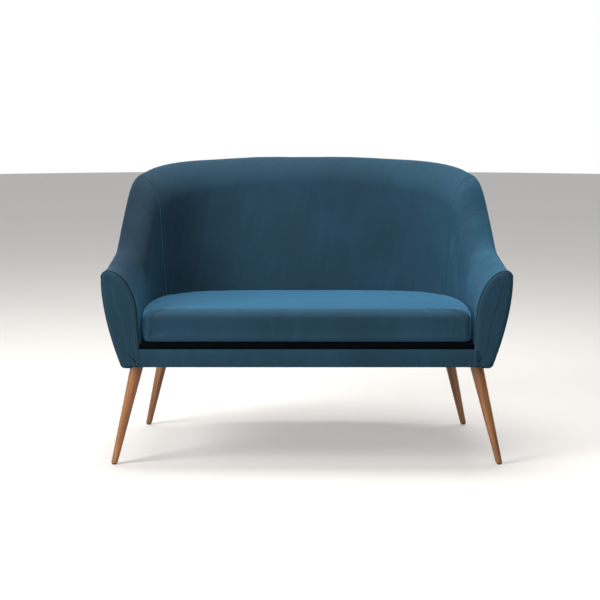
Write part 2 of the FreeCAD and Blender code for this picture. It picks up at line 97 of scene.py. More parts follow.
# %% [markdown]
# ## The shape of the shell
#
# A tub sofa is one wall bent round the seat. Its plan is a superellipse, a curve between an
# ellipse and a rectangle, so a single power says how square the corners are. The outside and the
# inside each have their own, and every point of the wall is a share of the way between them. The
# rim starts level along the arms and sweeps up to the back. Modelling it by hand would need
# dozens of control points, while these few formulas keep both sides alike and smooth.

# %% Outside, inside and rim of the shell
ARM_WIDEST = 0.560
WING_TAPER = 0.04
BASE_HALF_WIDTH = 0.547
BASE_BEHIND = 0.641
SIDE_SWELL_POWER = 1.7
BACK_SWELL_POWER = 1.5
OUTSIDE_POWER = 4.2
OUTSIDE_POWER_GAIN = 0.065
SEAT_LINE = 0.46
INSIDE_HALF_WIDTH = 0.493
INSIDE_MEASURED_AT = 0.33
INSIDE_FLARE = 0.06
INSIDE_BEHIND = 0.495
INSIDE_LEAN = 0.265
INSIDE_POWER = 4.4
POWER_FALL_HEIGHT = 0.4
ARM_DROP = 0.125
BACK_DROP = 0.080
RIM_CORNER = 0.016
RIM_FLAT = 0.18
RIM_ANGLES = np.array([0, 10, 16, 22, 28, 34, 40, 46, 52, 58, 66, 78, 90], float)
RIM_HEIGHTS = np.array([592.5, 592.5, 599.5, 609.0, 630.7, 719.5, 822.3, 852.1, 868.4, 877.4, 883.2,
                        890.0, 890.0]) / 1000


def superellipse(angle, half_width, depth, power):
    """Polar radius r with (|cos|r/half_width)^power + (|sin|r/depth)^power = 1."""
    across = np.abs(np.cos(angle)) / half_width
    back = np.abs(np.sin(angle)) / depth
    return (across ** power + back ** power) ** (-1 / power)


def outer_radius(angle, z):
    """Outside: it swells with height up to the arms' widest line, then leans in a little."""
    swell = 1 - (1 - np.clip((z - UNDERSIDE) / (ARM_WIDEST - UNDERSIDE), 0, 1)) ** SIDE_SWELL_POWER
    half_width = BASE_HALF_WIDTH + (HALF_WIDTH - BASE_HALF_WIDTH) * swell
    half_width = half_width - WING_TAPER * np.clip(z - ARM_WIDEST, 0, None)
    height = np.clip((z - UNDERSIDE) / (BACK_TOP - UNDERSIDE), 0, 1)
    depth = BASE_BEHIND + (BACK_BEHIND - BASE_BEHIND) * (1 - (1 - height) ** BACK_SWELL_POWER)
    return superellipse(angle, half_width, depth, OUTSIDE_POWER + OUTSIDE_POWER_GAIN * height)


def inner_radius(angle, z):
    """Inside: near-upright sides, and a back that leans away by about a quarter of its height."""
    half_width = INSIDE_HALF_WIDTH + INSIDE_FLARE * (z - INSIDE_MEASURED_AT)
    depth = INSIDE_BEHIND + INSIDE_LEAN * (z - SEAT_LINE)
    power = INSIDE_POWER - np.clip((z - SEAT_LINE) / POWER_FALL_HEIGHT, 0, 1)
    return superellipse(angle, half_width, depth, power)


def wall_radius(angle, share, z):
    """Share 0 is the outside of the wall, 1 the inside."""
    return outer_radius(angle, z) * (1 - share) + inner_radius(angle, z) * share


def smooth(value):
    """Smoothstep: 3t^2 - 2t^3 between 0 and 1."""
    t = np.clip(value, 0, 1)
    return t * t * (3 - 2 * t)


def rim_height(angle):
    """A cubic through the rim's heights, whose slope at each comes from its two neighbours."""
    turn = 90 - np.abs(90 - np.degrees(angle))
    slope = np.zeros(len(RIM_ANGLES))
    slope[1:-1] = (RIM_HEIGHTS[2:] - RIM_HEIGHTS[:-2]) / (RIM_ANGLES[2:] - RIM_ANGLES[:-2])
    i = np.clip(np.searchsorted(RIM_ANGLES, turn, side="right") - 1, 0, len(RIM_ANGLES) - 2)
    span = RIM_ANGLES[i + 1] - RIM_ANGLES[i]
    t = (turn - RIM_ANGLES[i]) / span
    start = RIM_HEIGHTS[i] * (1 + 2 * t) + slope[i] * span * t
    end = RIM_HEIGHTS[i + 1] * (3 - 2 * t) - slope[i + 1] * span * (1 - t)
    return start * (1 - t) ** 2 + end * t ** 2


def shoulder_drop(angle):
    """How far the rounded inner shoulder comes down: more at the arms, less at the back."""
    return ARM_DROP - (ARM_DROP - BACK_DROP) * smooth(1 - np.abs(2 * angle / math.pi - 1))


def over_the_rim(angle, corner=8, shoulder=44, wall=52):
    """Wall share and height from the rim's outer edge, over the top and down the inside.

    Two quarter ellipses joined at the crest, then a straight run down to the panel's foot.
    """
    top, drop = rim_height(angle), shoulder_drop(angle)
    first = np.linspace(0, math.pi / 2, corner, endpoint=False)
    second = np.linspace(0, math.pi / 2, shoulder, endpoint=False)
    down = np.linspace(0, 1, wall)
    level = np.ones_like(angle)
    share = np.concatenate([
        RIM_FLAT * (1 - np.cos(first)) * level,
        (RIM_FLAT + (1 - RIM_FLAT) * np.sin(second)) * level,
        np.ones(wall) * level], axis=1)
    z = np.concatenate([
        top - RIM_CORNER + RIM_CORNER * np.sin(first),
        top - drop + drop * np.cos(second),
        (top - drop) * (1 - down) + PANEL_FOOT * down], axis=1)
    return share, z


def place(radius, angle, z):
    """Points from polar coordinates about the middle of the arm-front plane."""
    return np.stack([radius * np.cos(angle), FACE_Y + radius * np.sin(angle), z + 0 * radius], axis=-1)


print("rim at the arm, corner and back:", np.round(rim_height(np.radians([0, 45, 90])), 3))

# %% [markdown]
# ## From grids to meshes
#
# Every panel is a grid of points. `solid` closes two grids into one skin: the face, the back and
# a strip of quads round the edge. The same helper makes a thin cloth and a thick pad. Distances
# along the grid are kept as a UV map in metres, so that a velvet's pile can follow the surface.

# %% Grid helpers


def grid_faces(rows, columns, offset=0, flip=False):
    """Quads of a grid whose points are numbered row by row."""
    index = np.arange(rows * columns).reshape(rows, columns) + offset
    quads = np.stack([index[:-1, :-1], index[1:, :-1], index[1:, 1:], index[:-1, 1:]], axis=-1)
    quads = quads.reshape(-1, 4)
    return quads[:, ::-1] if flip else quads


def grid_edge(rows, columns):
    """Point numbers once round the grid's edge."""
    index = np.arange(rows * columns).reshape(rows, columns)
    return np.concatenate([index[:-1, 0], index[-1, :-1], index[:0:-1, -1], index[0, :0:-1]])


def arc_lengths(grid, axis):
    """Distance travelled along one axis of the grid, from its first row or column."""
    steps = np.linalg.norm(np.diff(grid, axis=axis), axis=-1)
    start = np.zeros_like(np.take(steps, [0], axis=axis))
    return np.concatenate([start, np.cumsum(steps, axis=axis)], axis=axis)


def grid_normals(grid):
    """Unit normals from the cross product of the two directions along the grid."""
    normal = np.cross(np.gradient(grid, axis=0), np.gradient(grid, axis=1))
    return normal / np.maximum(np.linalg.norm(normal, axis=-1, keepdims=True), 1e-12)


def new_object(name, points, faces, uv=None, flat=False):
    """A mesh object at the origin, smooth-shaded unless it is flat."""
    mesh = bpy.data.meshes.new(name)
    mesh.from_pydata(points.tolist(), [], faces)
    mesh.polygons.foreach_set("use_smooth", np.full(len(mesh.polygons), not flat))
    if uv is not None:
        corners = np.zeros(len(mesh.loops), np.int32)
        mesh.loops.foreach_get("vertex_index", corners)
        mesh.uv_layers.new(name="cloth").data.foreach_set("uv", uv[corners].ravel())
    mesh.update()
    made = bpy.data.objects.new(name, mesh)
    bpy.context.scene.collection.objects.link(made)
    return made


def solid(name, face, back):
    """Closes two grids of the same shape. The face's normals point away from the back."""
    rows, columns = face.shape[:2]
    count = rows * columns
    outward = np.sum(grid_normals(face) * (face - back)) > 0
    edge = grid_edge(rows, columns)
    following = np.roll(edge, -1)
    strip = np.stack([edge, following, following + count, edge + count], axis=-1)
    faces = np.concatenate([
        grid_faces(rows, columns, 0, not outward),
        grid_faces(rows, columns, count, outward),
        strip[:, ::-1] if outward else strip])
    points = np.concatenate([face.reshape(-1, 3), back.reshape(-1, 3)])
    uv = np.stack([arc_lengths(face, 0), arc_lengths(face, 1)], axis=-1).reshape(-1, 2)
    made = new_object(name, points, faces.tolist(), np.concatenate([uv, uv]))
    print(name, len(points), "points")
    return made


# %% [markdown]
# ## What sewing does to a panel
#
# Velvet pulled over foam is never a clean surface. Along a seam the cloth rolls in, because the
# stitches hold it down and the foam pushes up beside them. Away from the seams it undulates by
# less than a millimetre. Both are moves along the normal: the roll depends on the distance to the
# panel's edge, and the undulation is a sum of a few long waves in directions drawn from a fixed
# seed. Noise on every point would look rough instead of soft, because foam only follows slowly.

# %% Rolled edges and soft undulation
CALM_EDGE = 0.04


def roll(distance, depth, reach):
    """How far a rolled edge drops: a smooth step that ends after `reach`."""
    return depth * (1 - smooth(distance / reach))


def undulation(points, seed, waves=9, shortest=0.05, longest=0.28):
    """Sum of sine waves in random directions, from -1 to 1."""
    draw = np.random.default_rng(seed)
    directions = draw.normal(size=(waves, 3))
    directions /= np.linalg.norm(directions, axis=1, keepdims=True)
    lengths = np.geomspace(shortest, longest, waves)
    phases = draw.uniform(0, 2 * math.pi, waves)
    angles = points @ (directions * (2 * math.pi / lengths)[:, None]).T + phases
    weights = np.sqrt(lengths)
    return (np.sin(angles) * weights).sum(axis=-1) / weights.sum()


def sewn(grid, depths, reach=0.006, soft=0.0009, seed=1, sign=1.0):
    """Rolls the four edges in by their depths and adds the undulation.

    Depths are for the first row, last row, first column and last column of the grid. The
    undulation dies out at the edges, so that two panels meet.
    """
    normal = grid_normals(grid) * sign
    along, across = arc_lengths(grid, 0), arc_lengths(grid, 1)
    distances = (along, along[-1:] - along, across, across[:, -1:] - across)
    drop = sum(roll(d, depth, reach) for d, depth in zip(distances, depths))
    lift = soft * undulation(grid, seed) * smooth(np.min(distances, axis=0) / CALM_EDGE)
    return grid + normal * (lift - drop)[..., None], normal


# %% [markdown]
# ## Nodes as arithmetic
#
# A node tree drawn by hand is hard to read back. Here one small class wraps a socket, and its
# operators add Math nodes, so a mask can be written as a formula. Everything else goes through
# one method that takes a node's type, its settings and its inputs.

# %% A socket that adds up


class Value:
    """A node's output that can be added, subtracted and multiplied like a number."""

    def __init__(self, shader, socket):
        self.shader = shader
        self.socket = socket

    def math(self, operation, first, second=0.0):
        return self.shader.node("ShaderNodeMath", {"operation": operation}, {0: first, 1: second})

    def __add__(self, other):
        return self.math("ADD", self, other)

    __radd__ = __add__

    def __sub__(self, other):
        return self.math("SUBTRACT", self, other)

    def __mul__(self, other):
        return self.math("MULTIPLY", self, other)

    __rmul__ = __mul__


class Shader:
    """A material with a Principled shader, built node by node."""

    def __init__(self, name, **constants):
        self.material = bpy.data.materials.new(name)
        self.material.use_nodes = True
        self.tree = self.material.node_tree
        self.principled = self.tree.nodes["Principled BSDF"]
        for socket, value in constants.items():
            self.principled.inputs[socket.replace("_", " ")].default_value = value

    def node(self, kind, settings=None, inputs=None, output=0):
        """Adds a node: settings first, a ramp's stops among them, then values and links."""
        made = self.tree.nodes.new(kind)
        for key, value in (settings or {}).items():
            if key == "stops":
                for element, (position, colour) in zip(self.ramp_elements(made, len(value)), value):
                    element.position = position
                    element.color = colour
            else:
                setattr(made, key, value)
        for key, value in (inputs or {}).items():
            if isinstance(value, Value):
                self.tree.links.new(value.socket, made.inputs[key])
            else:
                made.inputs[key].default_value = value
        return Value(self, made.outputs[output])

    @staticmethod
    def ramp_elements(node, count):
        elements = node.color_ramp.elements
        while len(elements) < count:
            elements.new(0.5)
        return elements

    def feed(self, **links):
        """Links values into the Principled shader's own sockets."""
        for socket, value in links.items():
            self.tree.links.new(value.socket, self.principled.inputs[socket.replace("_", " ")])
        return self.material

    def coordinates(self, source="Object", scale=(1, 1, 1), rotation=(0, 0, 0), location=(0, 0, 0)):
        """Texture coordinates, scaled and turned."""
        where = self.node("ShaderNodeTexCoord", output={"Object": 3, "UV": 2}[source])
        inputs = {"Vector": where, "Scale": scale, "Rotation": rotation, "Location": location}
        return self.node("ShaderNodeMapping", {"vector_type": "POINT"}, inputs)

    def noise(self, vector, scale, detail=3.0, roughness=0.55, distortion=0.0):
        inputs = {"Vector": vector, "Scale": scale, "Detail": detail, "Roughness": roughness,
                  "Distortion": distortion}
        return self.node("ShaderNodeTexNoise", None, inputs)

    def multiply(self, first, second):
        """Darkens one colour by another."""
        settings = {"data_type": "RGBA", "blend_type": "MULTIPLY"}
        return self.node("ShaderNodeMix", settings, {0: 1.0, 6: first, 7: second}, 2)

    def ramp(self, factor, stops):
        return self.node("ShaderNodeValToRGB", {"stops": stops}, {0: factor})

    def bump(self, height, distance, strength=1.0):
        inputs = {"Height": height, "Distance": distance, "Strength": strength}
        return self.node("ShaderNodeBump", None, inputs)


def dress(piece, material):
    """Gives a piece its material, in its first slot."""
    if piece.material_slots:
        piece.material_slots[0].material = material
    else:
        piece.data.materials.append(material)


# %% [markdown]
# ## Velvet
#
# Velvet is a short pile standing on a woven ground. Seen straight on it swallows light, and seen
# along the surface the fibres' sides catch it, so it brightens towards grazing angles: that is
# the shader's sheen. Where the pile has been stroked it leans, and the cloth shows soft paler and
# darker patches, drawn out along the pile in streaks. The patches vary the base colour and the
# roughness, and a very fine noise gives the pile's own grain as a bump. On the inside covers the
# tone also changes with X. This is painted light and shade: deeper on the left wing and paler on
# the right one, as a lamp from the left would leave them. One base colour in shades keeps all the
# panels alike.

# %% Velvet in petrol blue
PETROL = np.array([0.0082, 0.0292, 0.0481])
SHEEN_TINT = (0.09, 0.38, 0.66, 1)
PATCHES_PER_METRE = 5.0
STREAKS_PER_METRE = 42.0
GRAIN_PER_METRE = 240.0
PILE_PER_METRE = 900.0
TONE_SHIFT = -0.045


def shade(share):
    """The velvet's colour at a share of its middle tone."""
    return (*(PETROL * share), 1)


def velvet(name, source, scale, sheen, lean=0.0):
    """Pile streaks run along the mapped axis that the scale squeezes.

    `lean` paints light and shade: paler towards +X and deeper towards -X, with the cube of X.
    """
    shader = Shader(name, Sheen_Weight=sheen, Sheen_Roughness=0.42, Sheen_Tint=SHEEN_TINT,
                    Specular_IOR_Level=0.12)
    cloth = shader.coordinates(source)
    drawn = shader.coordinates(source, scale=scale)
    patches = shader.noise(cloth, PATCHES_PER_METRE, 2.0)
    streaks = shader.noise(drawn, STREAKS_PER_METRE, 3.0, 0.6)
    grain = shader.noise(drawn, GRAIN_PER_METRE, 2.0)
    tone = patches * 0.55 + streaks * 0.34 + grain * 0.20 + TONE_SHIFT
    # Painted light and shade: the tone rises with the cube of X, lighter on the right wing and darker on the
    # left.
    if lean:
        x = shader.node("ShaderNodeSeparateXYZ", None, {0: shader.coordinates()})
        tone = tone + x * x * x * lean
    colour = shader.ramp(tone, [(0.05, shade(0.46)), (0.28, shade(0.74)), (0.52, shade(1.0)),
                                (0.78, shade(1.34)), (1.0, shade(2.1))])
    pile = shader.noise(cloth, PILE_PER_METRE, 2.0, 0.7) + streaks * 0.6
    return shader.feed(Base_Color=colour, Roughness=0.74 + tone * 0.2,
                       Normal=shader.bump(pile, 0.0006, 0.35))


# The inside covers get the painted light and shade across X.
INSIDE_VELVET = velvet("velvet_inside_painted_light", "UV", (1, 0.16, 1), 0.14, lean=2.4)
OUTSIDE_VELVET = velvet("velvet_outside", "UV", (1, 0.16, 1), 0.14)
SEAT_VELVET = velvet("velvet_seat", "Object", (1, 0.14, 0.14), 0.55)
FRONT_VELVET = velvet("velvet_front", "Object", (1, 1, 0.16), 0.14)
THREAD = Shader("thread", Base_Color=(0.020, 0.048, 0.070, 1), Roughness=0.6).material

# %% [markdown]
# ## Inside covers
#
# Three pieces of velvet line the tub: one for the back and one for each arm, joined by seams in
# the rear corners. Each runs from the rim's outer edge, over the crest and the shoulder, and down
# behind the cushion. It is cloth stretched over foam, and its flat size is worked out as the
# distance along its own middle lines, since velvet is cut to fit and hardly stretches.

# %% Inside back and arms


def flat_size(grid):
    """Longest run along each direction of the panel, and its area."""
    sides = np.cross(grid[1:, 1:] - grid[:-1, :-1], grid[1:, :-1] - grid[:-1, 1:])
    area = 0.5 * np.linalg.norm(sides, axis=-1).sum()
    return float(arc_lengths(grid, 0)[-1].max()), float(arc_lengths(grid, 1)[:, -1].max()), float(area)


def cover(name, grid, depths, rests_on, seed, sign):
    """One stretched panel of velvet, sewn at its edges, whose flat size is worked out.

    `sign` turns the grid's normals outwards.
    """
    face, normal = sewn(grid, depths, seed=seed, sign=sign)
    piece = solid(name, face, face - normal * CLOTH)
    dress(piece, INSIDE_VELVET if name.startswith("inside") else OUTSIDE_VELVET)
    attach(piece, BODY)
    width, length, area = flat_size(grid)
    return piece


def inside_grid(start, end, count):
    angle = np.linspace(start, end, count)[:, None]
    share, z = over_the_rim(angle)
    return place(wall_radius(angle, share, z), angle, z)


def mirrored(grid):
    """The same panel on the left side."""
    return grid * np.array([-1.0, 1.0, 1.0])


SEAM_ROLL = 0.0003
END_ROLL = 0.0010
back_grid = inside_grid(SEAM, math.pi - SEAM, 150)
arm_grid = inside_grid(0.0, SEAM, 110)
inside_back = cover("inside_back_panel", back_grid, (SEAM_ROLL, SEAM_ROLL, END_ROLL, 0), ["back_foam"],
                    seed=3, sign=-1)
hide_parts("inside_back_cover")
for side, grid, sign in (("right", arm_grid, -1), ("left", mirrored(arm_grid), 1)):
    panel = cover("inside_arm_panel_" + side, grid, (END_ROLL, SEAM_ROLL, END_ROLL, 0), ["arm_foam_" + side],
                  seed=4, sign=sign)
    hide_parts("inside_arm_cover_" + side)

# %% [markdown]
# ## Outside covers
#
# The outside is covered last: velvet is pulled over the fibreboards from the rim seam, turned
# round the lower edge of the frame and stapled underneath, so its grid ends in a small rolled
# hem. Its seams stand at the same corners as the inside ones.

# %% Outside back and arms
HEM_RADIUS = 0.008
HEM_UNDER = 0.020
HEM_DROP = 0.0010


def outside_grid(start, end, count, wall=70, turn=8, under=6):
    """Straight down the outside, a quarter circle at the foot, and a short run underneath."""
    angle = np.linspace(start, end, count)[:, None]
    foot = UNDERSIDE - HEM_DROP
    down = np.linspace(0, 1, wall, endpoint=False)
    bend = np.linspace(0, math.pi / 2, turn, endpoint=False)
    inward = np.linspace(0, 1, under)
    top = rim_height(angle) - RIM_CORNER
    z = np.concatenate([
        top * (1 - down) + (foot + HEM_RADIUS) * down,
        foot + HEM_RADIUS * (1 - np.sin(bend)) + 0 * top,
        foot + 0 * inward + 0 * top], axis=1)
    inset = np.concatenate([0 * down, HEM_RADIUS * (1 - np.cos(bend)), HEM_RADIUS + HEM_UNDER * inward])
    return place(outer_radius(angle, z) - inset, angle, z)


outside_back = cover("outside_back_panel", outside_grid(SEAM, math.pi - SEAM, 130),
                     (SEAM_ROLL, SEAM_ROLL, END_ROLL, 0), ["outside_back_board"], seed=5, sign=1)
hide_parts("outside_back_cover")
outside_arm_grid = outside_grid(0.0, SEAM, 90)
for side, grid, sign in (("right", outside_arm_grid, 1), ("left", mirrored(outside_arm_grid), -1)):
    panel = cover("outside_arm_panel_" + side, grid, (END_ROLL, SEAM_ROLL, END_ROLL, 0),
                  ["outside_arm_board_" + side], seed=6, sign=sign)
    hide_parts("outside_arm_cover_" + side)

# %% [markdown]
# ## Arm facings
#
# The end of each arm is closed by a leaf-shaped pad. Its outline is the wall's own section, so it
# is traced with the same formulas, and its skin is blown up from that outline: the grid runs from
# the edge to a spine inside the leaf, and the depth at each point depends only on how far it is
# from the edge: a round roll first, and level cloth after it. So the roll is as wide everywhere.

# %% Leaf-shaped pads
FACING_FOOT = UNDERSIDE - 0.0003
FACING_CORNER = 0.014
INNER_CORNER = 0.004
FACING_ROLL = 0.012
FACING_PROUD = PROUD - 0.0016
FACING_START = 0.0008
FACING_BACK = FACE_Y + 0.0016
SPINE_ENDS = (0.350, 0.560)
SPINE_STEP = 0.01
SPINE_BENDS_AT = 0.44
SPINE_LEAN = 0.19


def leaf_outline():
    """Closed outline (x, z) of the right arm's end, from the foot of the inner edge round.

    Up the inner wall, over the shoulder and the rim corner, down the outside, and back along the
    foot through two rounded corners.
    """
    zero = np.zeros((1, 1))
    share, z = over_the_rim(zero, corner=12, shoulder=60, wall=60)
    share, z = share[0, ::-1], z[0, ::-1]
    low = np.linspace(FACING_FOOT + FACING_CORNER, PANEL_FOOT, 16, endpoint=False)
    inner = np.stack([inner_radius(0.0, low), low], axis=-1)
    rim = np.stack([wall_radius(0.0, share, z), z], axis=-1)
    fall = np.linspace(ARM_TOP - RIM_CORNER, FACING_FOOT + FACING_CORNER, 60)[1:]
    outer = np.stack([outer_radius(0.0, fall), fall], axis=-1)
    bend = np.linspace(0, math.pi / 2, 10)[1:]
    lean = (outer[-2, 0] - outer[-1, 0]) / (fall[-2] - fall[-1])
    right = np.stack([outer[-1, 0] - FACING_CORNER * ((1 - np.cos(bend)) + lean * np.sin(bend)),
                      FACING_FOOT + FACING_CORNER * (1 - np.sin(bend))], axis=-1)
    left_x = inner[0, 0]
    left = np.stack([left_x + INNER_CORNER * (1 - np.sin(bend[::-1])),
                     FACING_FOOT + INNER_CORNER * (1 - np.cos(bend[::-1]))], axis=-1)
    foot = np.linspace(right[-1], left[0], 16)[1:-1]
    return np.concatenate([inner, rim, outer, right, foot, left])


def evenly(points, count):
    """The closed outline again with evenly spaced points."""
    loop = np.concatenate([points, points[:1]])
    distance = np.concatenate([[0], np.cumsum(np.linalg.norm(np.diff(loop, axis=0), axis=1))])
    at = np.linspace(0, distance[-1], count, endpoint=False)
    return np.stack([np.interp(at, distance, loop[:, 0]), np.interp(at, distance, loop[:, 1])], axis=-1)


def facing_depth(distance):
    """Stand-off of the skin: an elliptical roll at the edge, and level beyond it."""
    t = np.clip(distance / FACING_ROLL, 0, 1)
    return FACING_PROUD * np.sqrt(1 - (1 - t) ** 2)


OUTLINE = evenly(leaf_outline(), 420)


def facing_grid():
    """Rows go round the outline, columns from the edge in to the spine.

    The spine's points are rounded to steps, so that both sides of the leaf meet in the same ones.
    """
    spine_z = np.round(np.clip(OUTLINE[:, 1], *SPINE_ENDS) / SPINE_STEP) * SPINE_STEP
    middle_x = 0.5 * (inner_radius(0.0, spine_z) + outer_radius(0.0, spine_z))
    spine_x = middle_x + SPINE_LEAN * (spine_z - SPINE_BENDS_AT).clip(0)
    spine = np.stack([spine_x, spine_z], axis=-1)
    step = np.linspace(0, 1, 30) ** 1.6
    flat = OUTLINE[:, None, :] + (spine - OUTLINE)[:, None, :] * step[None, :, None]
    distance = nearest(flat.reshape(-1, 2), OUTLINE).reshape(flat.shape[:2])
    behind = FACING_START - facing_depth(distance)
    return np.stack([flat[..., 0], FACE_Y + behind, flat[..., 1]], axis=-1)


def nearest(points, line):
    """Distance from each point to a closed polyline."""
    start, end = line, np.roll(line, -1, axis=0)
    run = end - start
    along = ((points[:, None] - start) * run).sum(-1) / (run * run).sum(-1)
    foot = start + np.clip(along, 0, 1)[..., None] * run
    return np.linalg.norm(points[:, None] - foot, axis=-1).min(axis=1)


def closed_pad(name, face, back_y):
    """A pad whose grid closes on itself round the outline, with a flat back."""
    rows, columns = face.shape[:2]
    ring = np.concatenate([face, face[:1]])
    back = ring.copy()
    back[..., 1] = back_y
    made = solid(name, ring, back)
    weld(made)
    return made


def weld(piece, distance=1e-5):
    """Merges points that lie together and turns every face outwards."""
    mesh = bmesh.new()
    mesh.from_mesh(piece.data)
    bmesh.ops.remove_doubles(mesh, verts=mesh.verts, dist=distance)
    bmesh.ops.recalc_face_normals(mesh, faces=mesh.faces)
    mesh.to_mesh(piece.data)
    mesh.free()


right_facing = facing_grid()
for side, grid in (("right", right_facing), ("left", mirrored(right_facing))):
    facing = closed_pad("arm_facing_" + side, grid, FACING_BACK)
    dress(facing, FRONT_VELVET)
    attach(facing, BODY)
    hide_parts("facing_cover_" + side, "facing_pad_" + side)

# %% [markdown]
# ## Front band
#
# A strip of velvet covers the front rail between the facings. One profile carried along the sofa
# gives it: a short hem under the rail, and a padded face that is rounder at the top than at the
# foot. Its ends run in under the facings' rolled edges, so no gap opens there. Above it a thin
# near-black sheet stands behind the band, darker than the deck cloth and without shine. It is
# painted shade, so that the gap under the cushion reads as a dark line.

# %% Band across the front rail
BAND_UNDERLAP = 0.0125
BAND_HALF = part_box("front_band_cover")[1].x + BAND_UNDERLAP
BAND_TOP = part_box("front_band_cover")[1].z - 0.0025
BAND_FOOT = UNDERSIDE + 0.0012
BAND_BULGE = 0.0070
BAND_START = 0.0005
BAND_HEM = 0.008
BAND_THICKNESS = 0.0012
BAND_END_ROLL = 0.0028


def band_profile():
    """(behind, z): a hem, then a face whose bulge is a power of a half sine wave.

    The power rises from 0.5 at the foot to 0.8 at the top, which rounds the top edge off.
    """
    hem = np.stack([np.linspace(BAND_HEM, BAND_START, 5), np.full(5, BAND_FOOT)], axis=-1)
    turn = np.linspace(0, math.pi, 34)[1:]
    middle, half = (BAND_FOOT + BAND_TOP) / 2, (BAND_TOP - BAND_FOOT) / 2
    power = 0.5 + 0.3 * smooth(-np.cos(turn))
    bulge = BAND_BULGE * np.sin(turn).clip(0) ** power
    front = np.stack([BAND_START - bulge, middle - half * np.cos(turn)], axis=-1)
    return np.concatenate([hem, front])


def along_sofa(profile, half_width, count):
    """Carries a (behind, z) profile from left to right."""
    x = np.linspace(-half_width, half_width, count)
    shape = np.broadcast_to(profile, (count,) + profile.shape)
    across = np.broadcast_to(x[:, None], shape.shape[:2])
    return np.stack([across, FACE_Y + shape[..., 0], shape[..., 1]], axis=-1)


band_grid = along_sofa(band_profile(), BAND_HALF, 300)
band_face, band_normal = sewn(band_grid, (BAND_END_ROLL, BAND_END_ROLL, 0, 0), reach=0.008, soft=0.0007,
                              seed=8, sign=-1.0)
band = solid("front_band", band_face, band_face - band_normal * BAND_THICKNESS)
dress(band, FRONT_VELVET)
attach(band, BODY)
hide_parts("front_band_cover", "front_band_pad")

# %% A near-black sheet behind the band, as painted shade in the gap
LIP_FOOT = 0.345
LIP_BEHIND = 0.0007
LIP_THICKNESS = 0.0009
LIP_HALF = BAND_HALF - 0.006
lip_profile = np.stack([np.full(12, LIP_BEHIND), np.linspace(LIP_FOOT, DECK_TOP - 0.0003, 12)], axis=-1)
lip_face = along_sofa(lip_profile, LIP_HALF, 60)
lip = solid("painted_shade_lip", lip_face, lip_face + np.array([0, LIP_THICKNESS, 0]))
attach(lip, BODY)
flat_size(lip_face)[:2]

# %% [markdown]
# ## Topstitching
#
# Two rows of stitches run along the inner edge of each facing, and one beside each end of the
# band. A stitch is about a millimetre thick, so each is a six-sided spindle, and all the stitches
# of a side are one mesh. Rows that follow the facing are its inner edge moved inwards by their
# distance, at the depth that the facing's skin has there.

# %% Rows of stitches
STITCH_PITCH = 0.0052
STITCH_LENGTH = 0.0037
STITCH_RADIUS = 0.00055
STITCH_LIFT = 0.0001
SIDES = 6
RINGS = 4
FACING_ROWS = (0.0055, 0.0115)


def resampled(path, spacing):
    """Evenly spaced points along a path, and the direction of travel at each."""
    distance = np.concatenate([[0], np.cumsum(np.linalg.norm(np.diff(path, axis=0), axis=1))])
    at = np.arange(spacing, distance[-1] - spacing, spacing)
    points = np.stack([np.interp(at, distance, path[:, k]) for k in range(3)], axis=-1)
    ahead = np.stack([np.interp(at + 0.001, distance, path[:, k]) for k in range(3)], axis=-1)
    direction = ahead - points
    return points, direction / np.linalg.norm(direction, axis=1, keepdims=True)


def spindles(paths):
    """Points and faces of stitches: four rings of six along each, thin at both ends."""
    along = np.array([-0.5, -0.3, 0.3, 0.5]) * STITCH_LENGTH
    width = np.array([0.35, 1.0, 1.0, 0.35]) * STITCH_RADIUS
    turn = np.linspace(0, 2 * math.pi, SIDES, endpoint=False)
    rows = [resampled(path, STITCH_PITCH) for path in paths]
    centres, directions = (np.concatenate(part) for part in zip(*rows))
    out = np.array([0.0, -1.0, 0.0])
    across = np.cross(directions, out)
    across /= np.linalg.norm(across, axis=1, keepdims=True)
    lifted = np.cross(across, directions)
    ring = (np.cos(turn)[:, None, None] * across + np.sin(turn)[:, None, None] * lifted).transpose(1, 0, 2)
    points = (centres[:, None, None] + directions[:, None, None] * along[None, :, None, None]
              + ring[:, None] * width[None, :, None, None])
    first = (np.arange(len(centres)) * SIDES * RINGS)[:, None, None]
    row = first + np.arange(RINGS - 1)[None, :, None] * SIDES
    side = np.arange(SIDES)[None, None, :]
    following = (side + 1) % SIDES
    quads = np.stack([row + side, row + following, row + SIDES + following, row + SIDES + side],
                     axis=-1).reshape(-1, 4)
    caps = np.concatenate([first[:, 0] + np.arange(SIDES)[::-1],
                           first[:, 0] + (RINGS - 1) * SIDES + np.arange(SIDES)])
    return points.reshape(-1, 3), quads.tolist() + caps.tolist()


def facing_row(inset):
    """The facing's inner edge moved inwards, from near the foot up to the crest."""
    share, z = over_the_rim(np.zeros((1, 1)), shoulder=60, wall=60)
    share, z = share[0, :8:-1], z[0, :8:-1]
    low = np.linspace(FACING_FOOT + 0.006, PANEL_FOOT, 20, endpoint=False)
    inner = np.concatenate([np.stack([inner_radius(0.0, low), low], axis=-1),
                            np.stack([wall_radius(0.0, share, z), z], axis=-1)])
    run = np.gradient(inner, axis=0)
    run /= np.linalg.norm(run, axis=1, keepdims=True)
    moved = inner + inset * np.stack([run[:, 1], -run[:, 0]], axis=-1)
    behind = np.full(len(moved), FACING_START - facing_depth(inset) - STITCH_LIFT)
    return np.stack([moved[:, 0], FACE_Y + behind, moved[:, 1]], axis=-1)


def band_row(inset):
    """Beside the band's end, up its face."""
    face = band_profile()[8:-3]
    x = np.full(len(face), BAND_HALF - inset)
    return np.stack([x, FACE_Y + face[:, 0] - STITCH_LIFT, face[:, 1]], axis=-1)


right_rows = [facing_row(inset) for inset in FACING_ROWS] + [band_row(BAND_UNDERLAP)]
for side, rows in (("right", right_rows), ("left", [mirrored(row) for row in right_rows])):
    points, faces = spindles(rows)
    stitches = new_object("topstitch_" + side, points, faces, flat=True)
    weld(stitches, 1e-7)
    dress(stitches, THREAD)
    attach(stitches, BODY)
    print(stitches.name, len(faces) // (SIDES * (RINGS - 1) + 2), "stitches")

